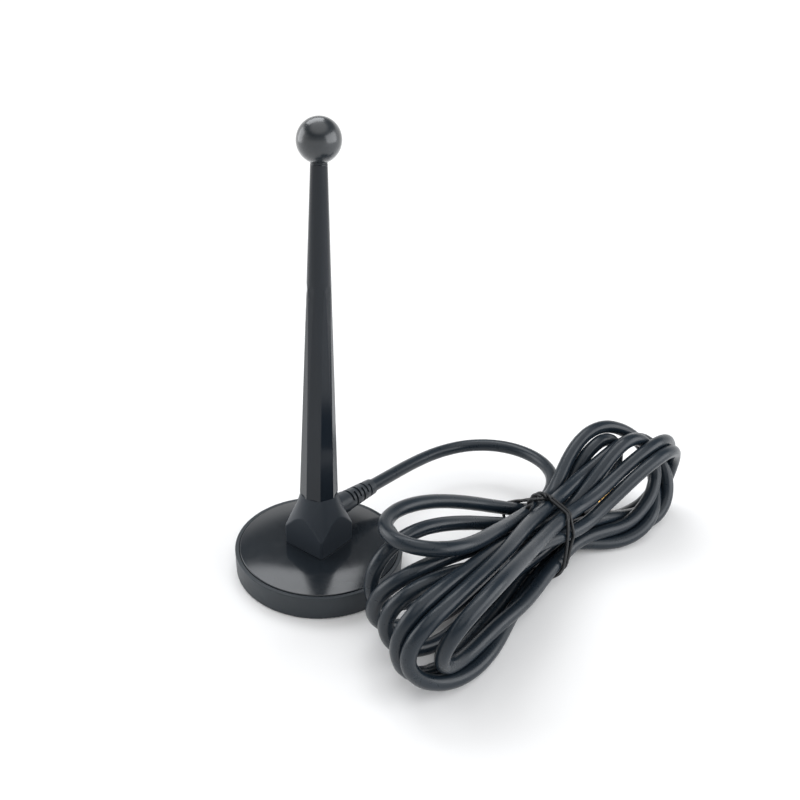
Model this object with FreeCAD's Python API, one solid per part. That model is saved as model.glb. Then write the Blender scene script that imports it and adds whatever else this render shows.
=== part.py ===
import FreeCAD, Part
import math
import os
from FreeCAD import Vector

# Magnetic mount cellular antenna: a tapered mast with a ball tip on a round magnet base, and a
# coaxial cable that lies beside it in a tied hank and ends in a screw-on connector.
# Lengths are in millimetres and angles in degrees. The origin is the middle of the base's underside,
# and +Z runs up the mast.

# Clearances
FIT = 0.1                # radial play of pieces that stay fixed in one another
RUN = 0.3                # play of the connector's nut, which spins, and of the inside pieces' ends
COVER_PLAY = 0.12        # ring of air round the cover, inside the lip
PAST = 1.0               # how far a cut runs past the piece
NEAR = 0.01              # two lengths this close are taken as equal

# Base, from the floor up
BASE_RADIUS = 35.0       # outside of the lip
LIP_RISE = 2.0           # the lip stands this high above the cover's seat
BASE_DRAFT = 0.3         # how far the wall leans in towards the floor
FOOT_GAP = 0.1           # the pad stands this proud of the wall
FOOT_ROUND = 0.4
HOUSING_WALL = 3.3
LIP_WIDTH = 1.8
LIP_ROUND = 0.35
SEAT_WIDTH = 3.7         # inward flange that the cover rests on
SEAT_THICKNESS = 1.2
PAD_THICKNESS = 1.2
MAGNET_THICKNESS = 4.3
MAGNET_HOLE_RADIUS = 9.5
CUP_PLATE = 1.5
CUP_WALL = 2.8
CUP_GAP = 1.0            # ring of air between the magnet and the cup's wall
SCREW_COUNT = 3
SCREW_CIRCLE_RADIUS = 17.0
SCREW_RADIUS = 1.25
SCREW_HEAD_RADIUS = 2.4
SCREW_BITE = 1.7         # length of thread in the cover

# Cover and hub
COVER_EDGE = 2.2         # thickness at the rim
COVER_EDGE_ROUND = 0.4
COVER_RISE = 1.95        # the glossy dome ends this much higher at the hub than at its rim
DOME_MIDDLE = 3.71       # thickness half way from the rim to the hub
HUB_SIDE = 20.2
HUB_EDGE_ROUND = 1.2
ARCH_ROUND = 0.8         # edge between the flared horn and the square's faces
HUB_TURN = 4.5           # how far the square hub is turned about the mast
HUB_SHOULDER = 7.6       # height of the hub's corners above the cover
HUB_ARCH = 15.6          # height of each face's arch above the cover
HUB_HEIGHT = 24.1        # cover to the mast's seat
CHAMBER_RADIUS = 8.0     # room in the hub for the cable's end

# Mast
MAST_SIDES = 8
MAST_FOOT_RADIUS = 7.7   # at the corners
MAST_TOP_RADIUS = 2.97
MAST_LENGTH = 132.25
MAST_TOP_ROUND = 0.6
FACET_LENGTH = 88.0      # the flats run out at this height above the foot
MAST_SPIGOT_RADIUS = 6.0
NECK_RADIUS = 1.5
NECK_LENGTH = 6.5
BALL_RADIUS = 7.75
BALL_SEAT_RADIUS = 2.2   # flat under the ball, which rests on the mast

# Radiator inside the mast
ROD_RADIUS = 1.2
ROD_TIP_WALL = 10.0      # solid mast left above the rod
INSERT_RADIUS = 3.5
INSERT_LENGTH = 14.0
ROD_SOCKET = 6.0         # depth of the rod in the insert
STUD_RADIUS = 1.4
STUD_DROP = 3.5          # the stud reaches this far below the cable's axis
STUD_SOCKET = 6.0
FORMER_RADIUS = 2.2
FORMER_LENGTH = 24.0
COIL_STRIP = 0.9         # side of the coil's square wire
COIL_TURNS = 6
COIL_PITCH = 3.0

# Strain relief and the cable's end in the hub; distances are from the mast's axis
CABLE_RADIUS = 2.85
CORE_RADIUS = 1.475
CONDUCTOR_RADIUS = 0.45
RELIEF_RISE = 11.95      # of its axis above the cover, where it would cross the mast's
RELIEF_DROOP = 5.0
RELIEF_LENGTH = 25.0     # outside the hub
COLLAR_RADIUS = 4.6
COLLAR_LENGTH = 6.6
COLLAR_STEP = 0.2        # the slotted sleeve starts this much slimmer than the collar
RELIEF_TIP_RADIUS = 3.5
RELIEF_SHANK_RADIUS = 3.4
RELIEF_FLANGE_RADIUS = 3.9
RELIEF_FLANGE = 1.2
SLOT_COUNT = 6
SLOT_WIDTH = 1.1
SLOT_PITCH = 2.6
SLOT_ANGLE = 140.0
SLOT_FLOOR = 0.25        # wall left between a slot and the cable
CLIP_WALL = 0.8
CLIP_LENGTH = 1.2
CLIP_TAB_WIDTH = 3.0
CORE_STRIP = 1.4         # length of bare core
CONDUCTOR_STRIP = 1.2    # length of bare conductor

# Hank of cable, tied off its middle
TIE_PLACE = (102.0, 8.0, 15.5)
HANK_TURN = 44.0         # direction of the short lobes, seen from above
BUNDLE_RADIUS = 13.5
BUNDLE_BACK = 6.0
BUNDLE_FRONT = 9.0
LOBE_TURN = 35.0
LOBE_TILT = 52.0         # the rear side of the short lobes stands higher
LOBE_THICKNESS = 24.0
LOBE_ROUND = 7.0
LOBE_HEIGHT = 22.0
LOBE_ROOT = (6.0, 10.0)  # distance from the tie and radius of the outline's two ends
LOBE_END = (48.0, 27.0)
OPENING_ROOT = (20.0, 9.0)
OPENING_END = (47.0, 15.0)
# Long lobes: distance from the tie, side step, half width, half height, height of the middle
FAN_SECTIONS = (
    (0.0, 0.0, 11.5, 11.3, 15.0),
    (30.0, 3.5, 18.0, 16.8, 17.4),
    (60.0, 3.0, 25.5, 22.3, 23.0),
    (85.0, 0.5, 28.0, 24.6, 25.4),
    (100.0, -3.5, 25.0, 22.2, 24.2),
    (112.0, -5.0, 17.0, 16.0, 21.5),
    (119.0, -6.0, 9.0, 8.0, 19.5),
)
CONNECTOR_ROOM = 6.0     # radius left free of turns round the connector
TIE_WIRE_RADIUS = 0.9
TIE_SPREAD = 4.0         # distance between its two wraps
TIE_LEAN = 8.0
TIE_TWIST_RADIUS = 1.4   # of the two ends twisted together
TIE_TAIL = 14.0
TIE_TAIL_AIM = (-0.75, 0.6, 0.15)

# Points of the lead after the strain relief, with its end under the tie
LEAD_POINTS = (
    (30.4, 35.6, 20.2),
    (43.6, 50.8, 18.6),
    (58.5, 64.0, 17.4),
    (75.5, 68.3, 18.6),
    (92.5, 62.5, 20.0),
    (104.3, 47.8, 20.8),
    (106.5, 29.5, 20.3),
    (101.5, 13.0, 18.0),
)
ARC_SHARE = 0.45         # share of the shorter run that an arc takes

# Connector at the cable's end; distances are from the tie along its axis
CONNECTOR_TURN = 42.0
CONNECTOR_HEIGHT = 14.0
TAIL_START = 9.0
SLEEVE_START = 13.5
SLEEVE_LENGTH = 11.0
SLEEVE_WALL = 0.4
FERRULE_WALL = 0.45
FERRULE_START = 15.0
FERRULE_LENGTH = 12.0
SHOULDER_RADIUS = 3.9
SHOULDER_LENGTH = 2.0
BODY_NECK_RADIUS = 2.75
BODY_NECK_LENGTH = 5.0
MOUTH_RADIUS = 2.3
MOUTH_LENGTH = 2.5
INSULATOR_RADIUS = 2.0
INSULATOR_SETBACK = 1.5
PIN_RADIUS = 0.46
PIN_LENGTH = 11.0
PIN_SETBACK = 0.5
NUT_SIDES = 6
NUT_ACROSS_FLATS = 8.0
NUT_LENGTH = 9.0
NUT_CHAMFER = 0.5
NUT_MOUTH_RADIUS = 3.2
NUT_WEB = 3.6            # length of the nut's narrow rear bore
SNAP_OFFSET = 1.6        # from the shoulder to the retaining ring
SNAP_THICKNESS = 0.6
SNAP_DEPTH = 0.35        # of the ring in the body's groove
SNAP_PROUD = 0.4         # of the ring in the nut's groove
GASKET_WALL = 0.55
GASKET_THICKNESS = 1.0

TIE_POINT = Vector(*TIE_PLACE)
X = Vector(1, 0, 0)
Y = Vector(0, 1, 0)
Z = Vector(0, 0, 1)
CENTRE = Vector(0, 0, 0)

# Heights and radii that follow from the sizes above
pad_top = PAD_THICKNESS
cup_under = pad_top + MAGNET_THICKNESS
cup_top = cup_under + CUP_PLATE
seat_top = cup_top + SEAT_THICKNESS
base_height = seat_top + LIP_RISE
cup_radius = BASE_RADIUS - BASE_DRAFT - HOUSING_WALL - FIT
lip_inner = BASE_RADIUS - LIP_WIDTH
cover_radius = lip_inner - COVER_PLAY
cover_foot = seat_top + COVER_EDGE + COVER_RISE
hub_corner = HUB_SIDE / 2 * math.sqrt(2)
dome_radius = (cover_radius + hub_corner) / 2
hub_top = cover_foot + HUB_HEIGHT
mast_top = hub_top + MAST_LENGTH
relief_height = cover_foot + RELIEF_RISE
chamber_top = relief_height + RELIEF_FLANGE_RADIUS + RUN
spigot_bottom = chamber_top + RUN
insert_top = spigot_bottom + INSERT_LENGTH
rod_bottom = insert_top - ROD_SOCKET
rod_top = mast_top - ROD_TIP_WALL
ball_centre = mast_top + math.sqrt(BALL_RADIUS ** 2 - BALL_SEAT_RADIUS ** 2)
relief_face = HUB_SIDE / 2
relief_end = relief_face + RELIEF_LENGTH
relief_inside = CHAMBER_RADIUS - RELIEF_FLANGE
clip_start = relief_inside - RELIEF_FLANGE - CLIP_LENGTH
relief_turn = HUB_TURN + 45.0
shoulder_start = FERRULE_START + FERRULE_LENGTH
neck_start = shoulder_start + SHOULDER_LENGTH
neck_end = neck_start + BODY_NECK_LENGTH
mouth_end = neck_end + MOUTH_LENGTH
snap_start = neck_start + SNAP_OFFSET
nut_start = neck_start + RUN


def revolved(profile):
    """Solid of revolution about Z from a closed list of (radius, height) corners."""
    corners = [Vector(radius, 0, height) for radius, height in profile]
    face = Part.Face(Part.makePolygon(corners + corners[:1]))
    return face.revolve(CENTRE, Z, 360)


def ring_edges(solid, radius, height):
    """Circular edges about Z at a given radius and height."""
    found = []
    for edge in solid.Edges:
        curve = edge.Curve
        if isinstance(curve, Part.Circle) and abs(curve.Radius - radius) < NEAR:
            if abs(curve.Center.z - height) < NEAR:
                found.append(edge)
    return found


def disc(radius, start, length):
    """Cylinder along X, the direction in which cable pieces are drawn before they are placed."""
    return Part.makeCylinder(radius, length, X * start, X)


def tube(outer, inner, start, length):
    return disc(outer, start, length).cut(disc(inner, start, length))


def on_relief_axis(shape):
    """Swing a piece drawn along X onto the strain relief's axis."""
    shape.rotate(CENTRE, Y, RELIEF_DROOP)
    shape.rotate(CENTRE, Z, relief_turn)
    shape.translate(Z * relief_height)
    return shape


def on_connector_axis(shape):
    """Swing a piece drawn along X onto the connector's axis."""
    shape.rotate(CENTRE, Z, CONNECTOR_TURN)
    shape.translate(Vector(TIE_POINT.x, TIE_POINT.y, CONNECTOR_HEIGHT))
    return shape


def screw_places():
    """Places of the cover screws, each as a turn about Z."""
    return [HUB_TURN + 90 + 360 / SCREW_COUNT * number for number in range(SCREW_COUNT)]


def screw(play):
    """Countersunk screw through the cup and the seat's gap into the cover, or its hole with play."""
    head = Part.makeCone(SCREW_HEAD_RADIUS + play, SCREW_RADIUS + play, CUP_PLATE)
    shank = Part.makeCylinder(SCREW_RADIUS + play, CUP_PLATE + SEAT_THICKNESS + SCREW_BITE + play)
    return head.fuse(shank).translate(Vector(SCREW_CIRCLE_RADIUS, 0, cup_under))


def screws(play):
    placed = []
    for turn in screw_places():
        piece = screw(play)
        piece.rotate(CENTRE, Z, turn)
        placed.append(piece)
    return placed


def bottom_pad():
    return Part.makeCylinder(cup_radius, pad_top)


def ring_magnet():
    radius = cup_radius - CUP_WALL - CUP_GAP
    ring = Part.makeCylinder(radius, MAGNET_THICKNESS, Z * pad_top)
    return ring.cut(Part.makeCylinder(MAGNET_HOLE_RADIUS, MAGNET_THICKNESS, Z * pad_top))


def steel_cup():
    """Shallow steel pot over the magnet, with countersunk holes for the cover screws."""
    pot = Part.makeCylinder(cup_radius, cup_top - pad_top, Z * pad_top)
    pot = pot.cut(Part.makeCylinder(cup_radius - CUP_WALL, MAGNET_THICKNESS, Z * pad_top))
    return pot.cut(Part.makeCompound(screws(FIT)))


def base_housing():
    """Matte outer wall with a flat lip, and an inward flange clamped between cup and cover."""
    wall_inner = cup_radius + FIT
    seat_inner = lip_inner - SEAT_WIDTH
    foot = BASE_RADIUS - BASE_DRAFT
    wall = revolved([
        (wall_inner, FOOT_GAP), (foot, FOOT_GAP), (BASE_RADIUS, base_height), (lip_inner, base_height),
        (lip_inner, seat_top), (seat_inner, seat_top), (seat_inner, cup_top), (wall_inner, cup_top),
    ])
    wall = wall.makeFillet(FOOT_ROUND, ring_edges(wall, foot, FOOT_GAP))
    lip = ring_edges(wall, BASE_RADIUS, base_height) + ring_edges(wall, lip_inner, base_height)
    return wall.makeFillet(LIP_ROUND, lip)


def hub():
    """Square block under a flared horn, so that each face runs up into an arch."""
    side = HUB_SIDE / 2
    block = Part.makeBox(HUB_SIDE, HUB_SIDE, HUB_HEIGHT, Vector(-side, -side, cover_foot))
    upright = [edge for edge in block.Edges if abs(edge.tangentAt(edge.FirstParameter).z) > 0.9]
    block = block.makeFillet(HUB_EDGE_ROUND, upright)
    block.rotate(CENTRE, Z, 45 + HUB_TURN)
    outside = hub_corner + PAST
    neck = MAST_FOOT_RADIUS * (1 + math.cos(math.pi / MAST_SIDES)) / 2
    shoulder = cover_foot + HUB_SHOULDER
    flare = Part.Arc(
        Vector(hub_corner, 0, shoulder), Vector(side, 0, cover_foot + HUB_ARCH), Vector(neck, 0, hub_top)
    )
    straight = Part.makePolygon([
        Vector(neck, 0, hub_top), Vector(0, 0, hub_top), Vector(0, 0, cover_foot),
        Vector(outside, 0, cover_foot), Vector(outside, 0, shoulder), Vector(hub_corner, 0, shoulder),
    ])
    horn = Part.Face(Part.Wire([flare.toShape()] + straight.Edges)).revolve(CENTRE, Z, 360)
    body = block.common(horn)
    arches = [edge for edge in body.Edges if not isinstance(edge.Curve, (Part.Line, Part.Circle))]
    return body.makeFillet(ARCH_ROUND, arches)


def base_cover():
    """Glossy low dome with the hub, hollow below for the cable's end."""
    edge_top = seat_top + COVER_EDGE
    rim = Vector(cover_radius, 0, edge_top)
    foot = Vector(hub_corner, 0, cover_foot)
    arc = Part.Arc(rim, Vector(dome_radius, 0, seat_top + DOME_MIDDLE), foot)
    straight = Part.makePolygon([
        foot, Vector(0, 0, cover_foot), Vector(0, 0, seat_top), Vector(cover_radius, 0, seat_top), rim,
    ])
    dome = Part.Face(Part.Wire([arc.toShape()] + straight.Edges)).revolve(CENTRE, Z, 360)
    dome = dome.makeFillet(COVER_EDGE_ROUND, ring_edges(dome, cover_radius, edge_top))
    cover = dome.fuse(hub())
    cover = cover.cut(Part.makeCylinder(CHAMBER_RADIUS, chamber_top - seat_top, Z * seat_top))
    cover = cover.cut(Part.makeCylinder(MAST_SPIGOT_RADIUS + FIT, hub_top - seat_top, Z * seat_top))
    cover = cover.cut(on_relief_axis(disc(RELIEF_SHANK_RADIUS + FIT, 0, relief_face + PAST)))
    return cover.cut(Part.makeCompound(screws(0))).removeSplitter()


def polygon_at(apothem, height):
    """Regular polygon about Z with corners in line with the hub's corners."""
    radius = apothem / math.cos(math.pi / MAST_SIDES)
    corners = []
    for number in range(MAST_SIDES + 1):
        angle = math.radians(HUB_TURN + 360 / MAST_SIDES * number)
        corners.append(Vector(radius * math.cos(angle), radius * math.sin(angle), height))
    return Part.makePolygon(corners)


def mast_sleeve():
    """Tapered sleeve whose flats fade into a round taper, bored for the radiator."""
    round_taper = Part.makeCone(MAST_FOOT_RADIUS, MAST_TOP_RADIUS, MAST_LENGTH, Z * hub_top)
    top = ring_edges(round_taper, MAST_TOP_RADIUS, mast_top)
    round_taper = round_taper.makeFillet(MAST_TOP_ROUND, top)
    foot = MAST_FOOT_RADIUS * math.cos(math.pi / MAST_SIDES)
    run_out = MAST_FOOT_RADIUS + (MAST_TOP_RADIUS - MAST_FOOT_RADIUS) * FACET_LENGTH / MAST_LENGTH
    tip = foot + (run_out - foot) * MAST_LENGTH / FACET_LENGTH
    flats = Part.makeLoft([polygon_at(foot, hub_top), polygon_at(tip, mast_top)], True, True)
    sleeve = round_taper.common(flats)
    sleeve = sleeve.fuse(Part.makeCylinder(MAST_SPIGOT_RADIUS, hub_top - spigot_bottom, Z * spigot_bottom))
    sleeve = sleeve.fuse(Part.makeCylinder(NECK_RADIUS, NECK_LENGTH, Z * mast_top))
    wide = INSERT_LENGTH + FORMER_LENGTH + RUN
    sleeve = sleeve.cut(Part.makeCylinder(INSERT_RADIUS + FIT, wide, Z * spigot_bottom))
    bore = rod_top + RUN - insert_top
    return sleeve.cut(Part.makeCylinder(ROD_RADIUS + RUN, bore, Z * insert_top)).removeSplitter()


def ball_tip():
    """Ball with a flat underneath that rests on the mast, bored for the mast's neck."""
    ball = Part.makeSphere(BALL_RADIUS, Z * ball_centre)
    ball = ball.cut(Part.makeCylinder(BALL_RADIUS, BALL_RADIUS, Z * (mast_top - BALL_RADIUS)))
    return ball.cut(Part.makeCylinder(NECK_RADIUS + FIT, NECK_LENGTH, Z * mast_top))


def mast_insert():
    """Threaded brass insert that joins the feed stud to the rod."""
    insert = Part.makeCylinder(INSERT_RADIUS, INSERT_LENGTH, Z * spigot_bottom)
    insert = insert.cut(Part.makeCylinder(STUD_RADIUS + FIT, STUD_SOCKET, Z * spigot_bottom))
    return insert.cut(Part.makeCylinder(ROD_RADIUS + FIT, ROD_SOCKET, Z * rod_bottom))


def feed_stud():
    bottom = relief_height - STUD_DROP
    return Part.makeCylinder(STUD_RADIUS, spigot_bottom + STUD_SOCKET - bottom, Z * bottom)


def radiator_rod():
    return Part.makeCylinder(ROD_RADIUS, rod_top - rod_bottom, Z * rod_bottom)


def coil_former():
    former = Part.makeCylinder(FORMER_RADIUS, FORMER_LENGTH, Z * insert_top)
    return former.cut(Part.makeCylinder(ROD_RADIUS + FIT, FORMER_LENGTH, Z * insert_top))


def loading_coil():
    """Square wire wound on the former, with an even margin at both ends."""
    height = COIL_TURNS * COIL_PITCH
    middle = FORMER_RADIUS + COIL_STRIP / 2
    half = COIL_STRIP / 2
    section = Part.makePolygon([
        Vector(middle - half, 0, -half), Vector(middle + half, 0, -half), Vector(middle + half, 0, half),
        Vector(middle - half, 0, half), Vector(middle - half, 0, -half),
    ])
    helix = Part.makeHelix(COIL_PITCH, height, middle)
    coil = Part.Wire(helix).makePipeShell([section], True, True)
    return coil.translate(Z * (insert_top + (FORMER_LENGTH - height) / 2))


def strain_relief():
    """Collar against the hub and a tapered sleeve with pairs of slots, each pair turned a quarter."""
    shank = disc(RELIEF_SHANK_RADIUS, relief_inside, relief_face - relief_inside + PAST)
    flange = disc(RELIEF_FLANGE_RADIUS, relief_inside - RELIEF_FLANGE, RELIEF_FLANGE)
    droop = math.radians(RELIEF_DROOP)
    collar_start = (relief_face + COLLAR_RADIUS * math.sin(droop)) / math.cos(droop)
    collar_end = relief_face + COLLAR_LENGTH
    collar = disc(COLLAR_RADIUS, collar_start, collar_end - collar_start)
    taper_start = COLLAR_RADIUS - COLLAR_STEP
    taper_length = relief_end - collar_end
    taper = Part.makeCone(taper_start, RELIEF_TIP_RADIUS, taper_length, X * collar_end, X)
    relief = shank.multiFuse([flange, collar, taper])
    relief = relief.cut(disc(CABLE_RADIUS, 0, relief_end))
    floor = CABLE_RADIUS + SLOT_FLOOR
    for number in range(SLOT_COUNT):
        start = collar_end + SLOT_WIDTH + SLOT_PITCH * number
        for side in (0, 180):
            slot = Part.makeCylinder(COLLAR_RADIUS + PAST, SLOT_WIDTH, X * start, X, SLOT_ANGLE)
            slot = slot.cut(disc(floor, start, SLOT_WIDTH))
            slot.rotate(CENTRE, X, side + 90 * number - SLOT_ANGLE / 2)
            relief = relief.cut(slot)
    return on_relief_axis(relief.removeSplitter())


def cable_root():
    """Jacketed cable through the strain relief, from the braid clip to the cable's exit."""
    return on_relief_axis(disc(CABLE_RADIUS, clip_start, relief_end - clip_start))


def inner_core():
    return on_relief_axis(disc(CORE_RADIUS, clip_start - CORE_STRIP, CORE_STRIP))


def inner_conductor():
    start = clip_start - CORE_STRIP - CONDUCTOR_STRIP
    return on_relief_axis(disc(CONDUCTOR_RADIUS, start, CONDUCTOR_STRIP))


def braid_clip():
    """Ring on the cable's braid with a tab that stands on the steel cup."""
    outer = CABLE_RADIUS + CLIP_WALL
    ring = on_relief_axis(tube(outer, CABLE_RADIUS, clip_start, CLIP_LENGTH))
    height = relief_height - CABLE_RADIUS - CLIP_WALL / 2 - cup_top
    tab = Part.makeBox(CLIP_WALL, CLIP_TAB_WIDTH, height, Vector(clip_start, -CLIP_TAB_WIDTH / 2, cup_top))
    foot = Part.makeBox(
        CLIP_TAB_WIDTH, CLIP_TAB_WIDTH, CLIP_WALL,
        Vector(clip_start - CLIP_TAB_WIDTH + CLIP_WALL, -CLIP_TAB_WIDTH / 2, cup_top),
    )
    stand = tab.fuse(foot)
    stand.rotate(CENTRE, Z, relief_turn)
    stand = stand.cut(on_relief_axis(disc(CABLE_RADIUS, 0, relief_end)))
    return ring.fuse(stand).removeSplitter()


def relief_exit():
    """Middle of the strain relief's end, where the cable comes out."""
    return on_relief_axis(Part.Vertex(relief_end, 0, 0)).Point


def cable_tube(points):
    """Round tube along straight runs joined by tangent arcs, as large as the runs allow."""
    edges = []
    last = points[0]
    radii = []
    for before, corner, after in zip(points, points[1:], points[2:]):
        to_before = (before - corner).normalize()
        to_after = (after - corner).normalize()
        turn = math.pi - to_before.getAngle(to_after)
        reach = ARC_SHARE * min((before - corner).Length, (after - corner).Length)
        radius = reach / math.tan(turn / 2)
        radii.append(round(radius, 1))
        start = corner + to_before * reach
        end = corner + to_after * reach
        inward = (to_before + to_after).normalize()
        centre = corner + inward * (radius / math.cos(turn / 2))
        middle = centre - inward * radius
        edges.append(Part.LineSegment(last, start).toShape())
        edges.append(Part.Arc(start, middle, end).toShape())
        last = end
    edges.append(Part.LineSegment(last, points[-1]).toShape())
    path = Part.Wire(edges)
    section = Part.Wire(Part.Circle(points[0], points[1] - points[0], CABLE_RADIUS).toShape())
    solid = path.makePipeShell([section], True, False)
    share = solid.Volume / (math.pi * CABLE_RADIUS ** 2 * path.Length)
    print("lead radii", radii, "length", round(path.Length, 1))
    print("lead volume over its section times its length", round(share, 4))
    return solid


def cable_lead():
    return cable_tube([relief_exit()] + [Vector(*point) for point in LEAD_POINTS])


def teardrop(root, end):
    """Flat outline round two circles on the X axis, with the straight lines that touch both."""
    lean = math.asin((end[1] - root[1]) / (end[0] - root[0]))
    out = Vector(-math.sin(lean), math.cos(lean), 0)
    below = Vector(out.x, -out.y, 0)
    near = X * root[0]
    far = X * end[0]
    edges = [
        Part.LineSegment(near + out * root[1], far + out * end[1]).toShape(),
        Part.Arc(far + out * end[1], far + X * end[1], far + below * end[1]).toShape(),
        Part.LineSegment(far + below * end[1], near + below * root[1]).toShape(),
        Part.Arc(near + below * root[1], near - X * root[1], near + out * root[1]).toShape(),
    ]
    return Part.Face(Part.Wire(edges))


def short_lobes():
    """Turns to the rear of the tie: a thick leaning ring round the opening where the connector lies."""
    up = Z * LOBE_THICKNESS
    ring = teardrop(LOBE_ROOT, LOBE_END).extrude(up)
    ring = ring.makeFillet(LOBE_ROUND, [edge for edge in ring.Edges if abs(edge.BoundBox.ZLength) < NEAR])
    ring = ring.cut(teardrop(OPENING_ROOT, OPENING_END).extrude(up))
    ring.translate(Z * (-LOBE_THICKNESS / 2))
    ring.rotate(CENTRE, X, LOBE_TILT)
    ring.rotate(CENTRE, Z, LOBE_TURN)
    ring.translate(Vector(TIE_POINT.x, TIE_POINT.y, LOBE_HEIGHT))
    reach = LOBE_END[0] + LOBE_END[1]
    corner = Vector(TIE_POINT.x - reach, TIE_POINT.y - reach, 0)
    above_floor = Part.makeBox(2 * reach, 2 * reach, 2 * reach, corner)
    return ring.common(above_floor)


def long_lobes():
    """Turns to the front of the tie, which fan out and rise: a loft through oval sections."""
    sections = []
    for distance, step, half_width, half_height, middle in FAN_SECTIONS:
        oval = Part.Wire(Part.Ellipse(CENTRE, half_width, half_height).toShape())
        oval.rotate(CENTRE, X, 90)
        oval.rotate(CENTRE, Z, 90)
        oval.translate(Vector(-distance, step, middle))
        sections.append(oval)
    fan = Part.makeLoft(sections, True, False)
    fan.rotate(CENTRE, Z, HANK_TURN)
    return fan.translate(Vector(TIE_POINT.x, TIE_POINT.y, 0))


def along_bundle(shape):
    """Swing a piece drawn along X onto the bundle's axis at the tie."""
    shape.rotate(CENTRE, Z, HANK_TURN)
    return shape.translate(TIE_POINT)


def cable_hank():
    """Outer shape of the turns: a tied bundle with lobes to both sides, open where the connector lies."""
    bundle = along_bundle(disc(BUNDLE_RADIUS, -BUNDLE_BACK, BUNDLE_BACK + BUNDLE_FRONT))
    turns = bundle.fuse(long_lobes()).fuse(short_lobes())
    room = disc(CONNECTOR_ROOM, TAIL_START, nut_start + NUT_LENGTH + CONNECTOR_ROOM - TAIL_START)
    return turns.cut(on_connector_axis(room)).removeSplitter()


def twist_tie():
    """Two wraps of wire round the bundle, leaning against each other, and their twisted ends."""
    wraps = []
    for side in (-1, 1):
        wrap = Part.makeTorus(BUNDLE_RADIUS + TIE_WIRE_RADIUS, TIE_WIRE_RADIUS, CENTRE, X)
        wrap.rotate(CENTRE, Y, side * TIE_LEAN)
        wrap.translate(X * (side * TIE_SPREAD / 2))
        wraps.append(wrap)
    crown = BUNDLE_RADIUS + TIE_WIRE_RADIUS
    bridge = disc(TIE_WIRE_RADIUS, -TIE_SPREAD, TIE_SPREAD * 2)
    bridge.translate(Z * crown)
    tail = Part.makeCylinder(TIE_TWIST_RADIUS, TIE_TAIL, Z * crown, Vector(*TIE_TAIL_AIM))
    return along_bundle(wraps[0].multiFuse([wraps[1], bridge, tail]))


def cable_tail():
    end = FERRULE_START + FERRULE_LENGTH / 2
    return on_connector_axis(disc(CABLE_RADIUS, TAIL_START, end - TAIL_START))


def heat_shrink():
    """Sleeve shrunk over the cable and the ferrule's rear."""
    ferrule = CABLE_RADIUS + FERRULE_WALL
    sleeve = disc(ferrule + SLEEVE_WALL, SLEEVE_START, SLEEVE_LENGTH)
    sleeve = sleeve.cut(disc(CABLE_RADIUS, SLEEVE_START, SLEEVE_LENGTH))
    return on_connector_axis(sleeve.cut(disc(ferrule, FERRULE_START, FERRULE_LENGTH)))


def crimp_ferrule():
    return on_connector_axis(tube(CABLE_RADIUS + FERRULE_WALL, CABLE_RADIUS, FERRULE_START, FERRULE_LENGTH))


def connector_body():
    """Shoulder, grooved neck and thin mouth that the nut turns on."""
    body = disc(SHOULDER_RADIUS, shoulder_start, SHOULDER_LENGTH)
    body = body.fuse(disc(BODY_NECK_RADIUS, neck_start, BODY_NECK_LENGTH))
    body = body.fuse(disc(MOUTH_RADIUS, neck_end, MOUTH_LENGTH))
    body = body.cut(disc(INSULATOR_RADIUS, shoulder_start, mouth_end - shoulder_start))
    groove = BODY_NECK_RADIUS - SNAP_DEPTH
    body = body.cut(tube(BODY_NECK_RADIUS + PAST, groove, snap_start, SNAP_THICKNESS))
    return on_connector_axis(body.removeSplitter())


def insulator():
    length = mouth_end - INSULATOR_SETBACK - shoulder_start
    return on_connector_axis(tube(INSULATOR_RADIUS, PIN_RADIUS, shoulder_start, length))


def contact_pin():
    end = mouth_end - PIN_SETBACK
    return on_connector_axis(disc(PIN_RADIUS, end - PIN_LENGTH, PIN_LENGTH))


def retaining_ring():
    inner = BODY_NECK_RADIUS - SNAP_DEPTH
    return on_connector_axis(tube(BODY_NECK_RADIUS + SNAP_PROUD, inner, snap_start, SNAP_THICKNESS))


def gasket():
    return on_connector_axis(tube(MOUTH_RADIUS + GASKET_WALL, MOUTH_RADIUS, neck_end, GASKET_THICKNESS))


def coupling_nut():
    """Hexagonal nut with chamfered ends, turning freely on the connector's neck."""
    corner = NUT_ACROSS_FLATS / 2 / math.cos(math.pi / NUT_SIDES)
    corners = []
    for number in range(NUT_SIDES + 1):
        angle = math.radians(360 / NUT_SIDES * number)
        corners.append(Vector(nut_start, corner * math.cos(angle), corner * math.sin(angle)))
    nut = Part.Face(Part.makePolygon(corners)).extrude(X * NUT_LENGTH)
    blank = disc(corner, nut_start, NUT_LENGTH)
    nut = nut.common(blank.makeChamfer(NUT_CHAMFER, [blank.Edges[0], blank.Edges[2]]))
    rear = BODY_NECK_RADIUS + RUN
    nut = nut.cut(disc(rear, nut_start, NUT_LENGTH))
    nut = nut.cut(disc(NUT_MOUTH_RADIUS, nut_start + NUT_WEB, NUT_LENGTH))
    groove = BODY_NECK_RADIUS + SNAP_PROUD + RUN
    nut = nut.cut(disc(groove, snap_start - RUN, SNAP_THICKNESS + 2 * RUN))
    return on_connector_axis(nut.removeSplitter())


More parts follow.
